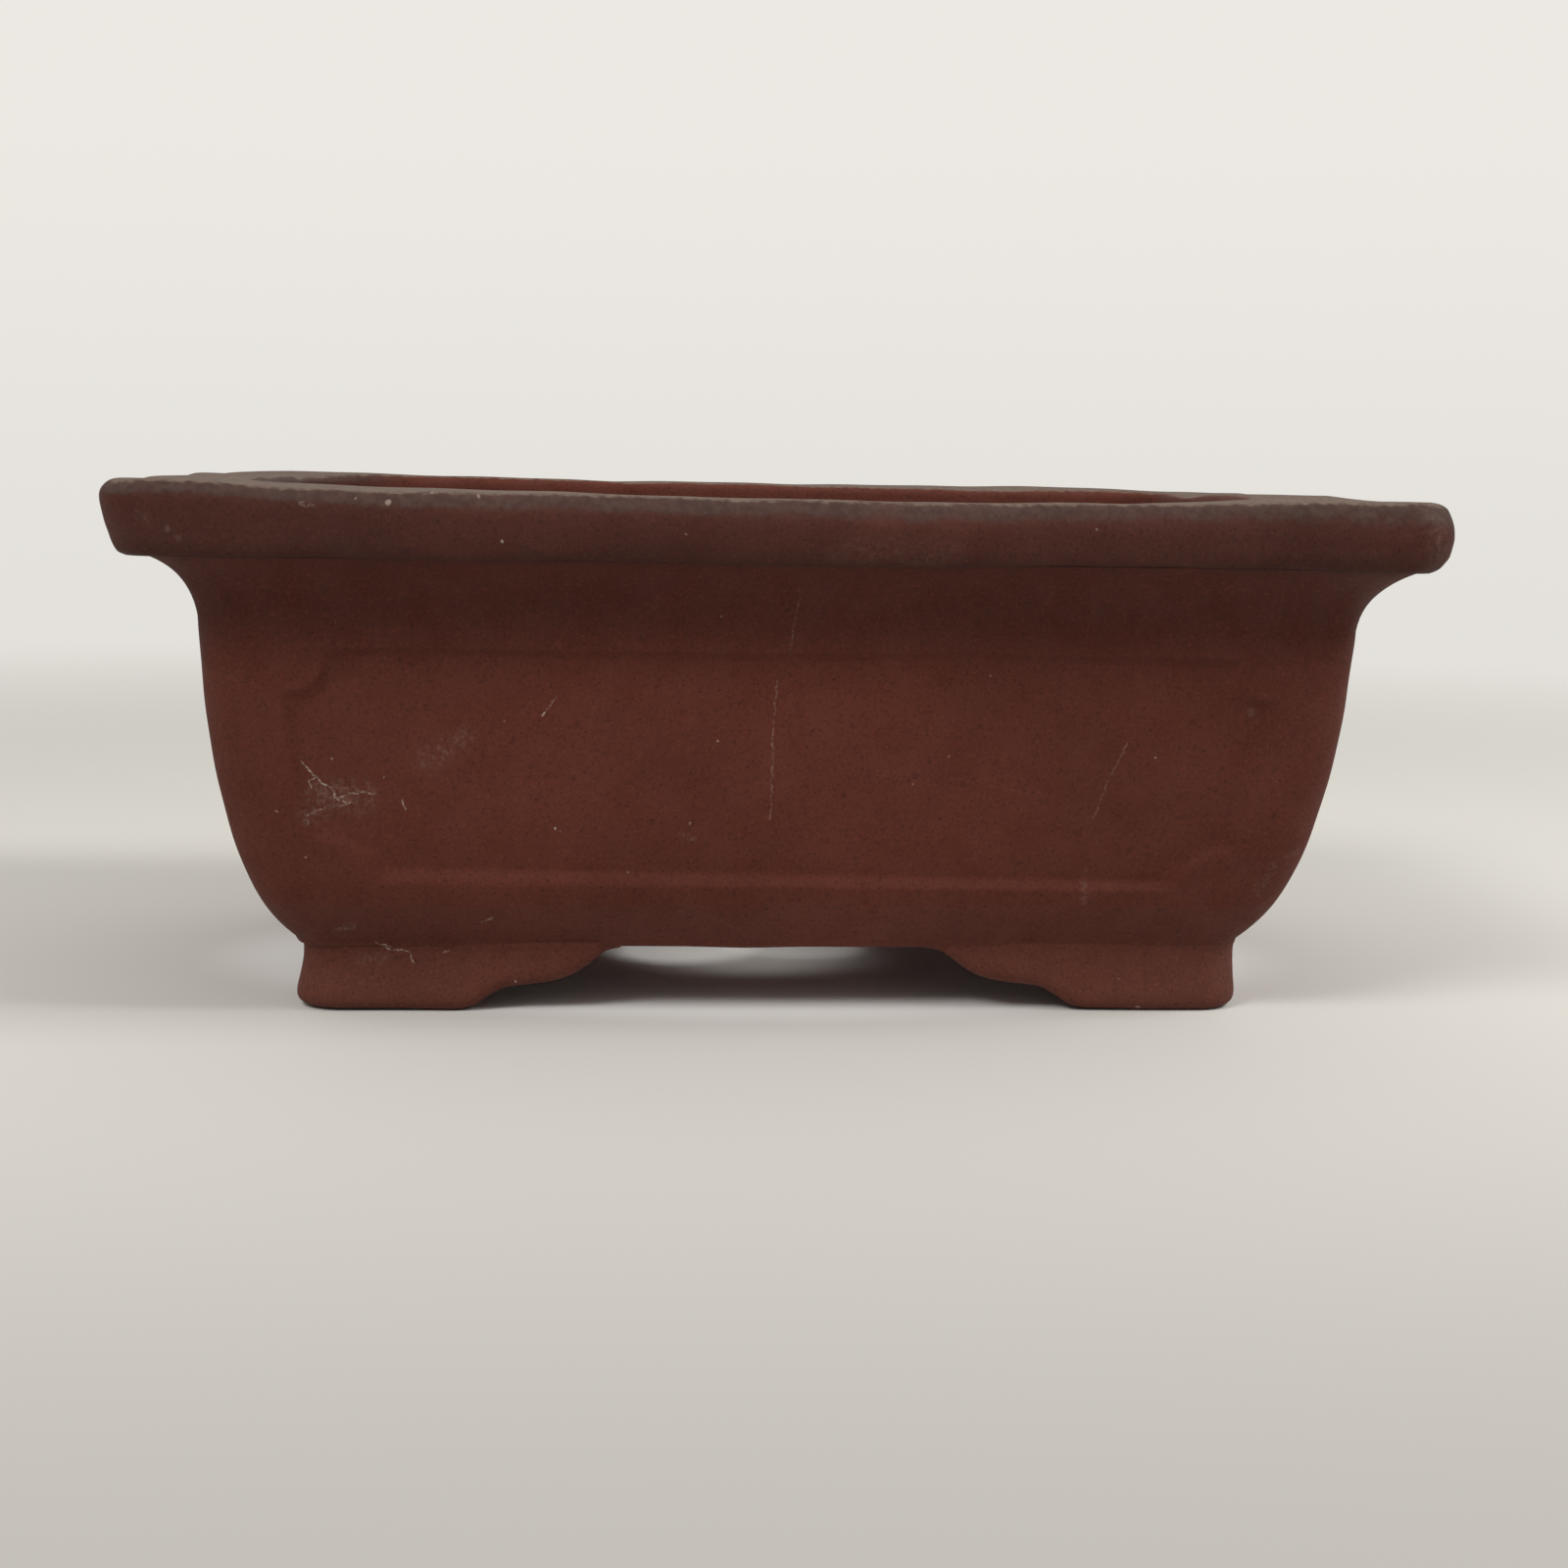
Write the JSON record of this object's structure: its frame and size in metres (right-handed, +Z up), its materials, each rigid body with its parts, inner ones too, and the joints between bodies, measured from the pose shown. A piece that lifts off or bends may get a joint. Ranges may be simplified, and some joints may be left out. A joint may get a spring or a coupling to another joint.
{
  "type": "bonsai pot",
  "caption": "Unglazed rectangular bonsai pot with a flared lip, bellied panelled walls, a drain hole and cloud feet.",
  "frame": {"origin": "on the ground plane under the centre of the pot, at the soles of the feet", "axes": "+X along the long side to the right, -Y out of the front, +Z up"},
  "size_m": [0.15, 0.112, 0.061],
  "materials": {
    "floor_clay": "matte unglazed",
    "wall_clay": "matte unglazed",
    "lip_clay": "matte unglazed, dusty on top",
    "foot_clay": "matte unglazed"
  },
  "bodies": {
    "root": {"floor_slab": "floor_clay", "front_wall": "wall_clay", "back_wall": "wall_clay", "left_wall": "wall_clay", "right_wall": "wall_clay", "front_lip": "lip_clay", "back_lip": "lip_clay", "left_lip": "lip_clay", "right_lip": "lip_clay", "front_left_foot": "foot_clay", "front_right_foot": "foot_clay", "back_left_foot": "foot_clay", "back_right_foot": "foot_clay"}
  },
  "joints": []
}
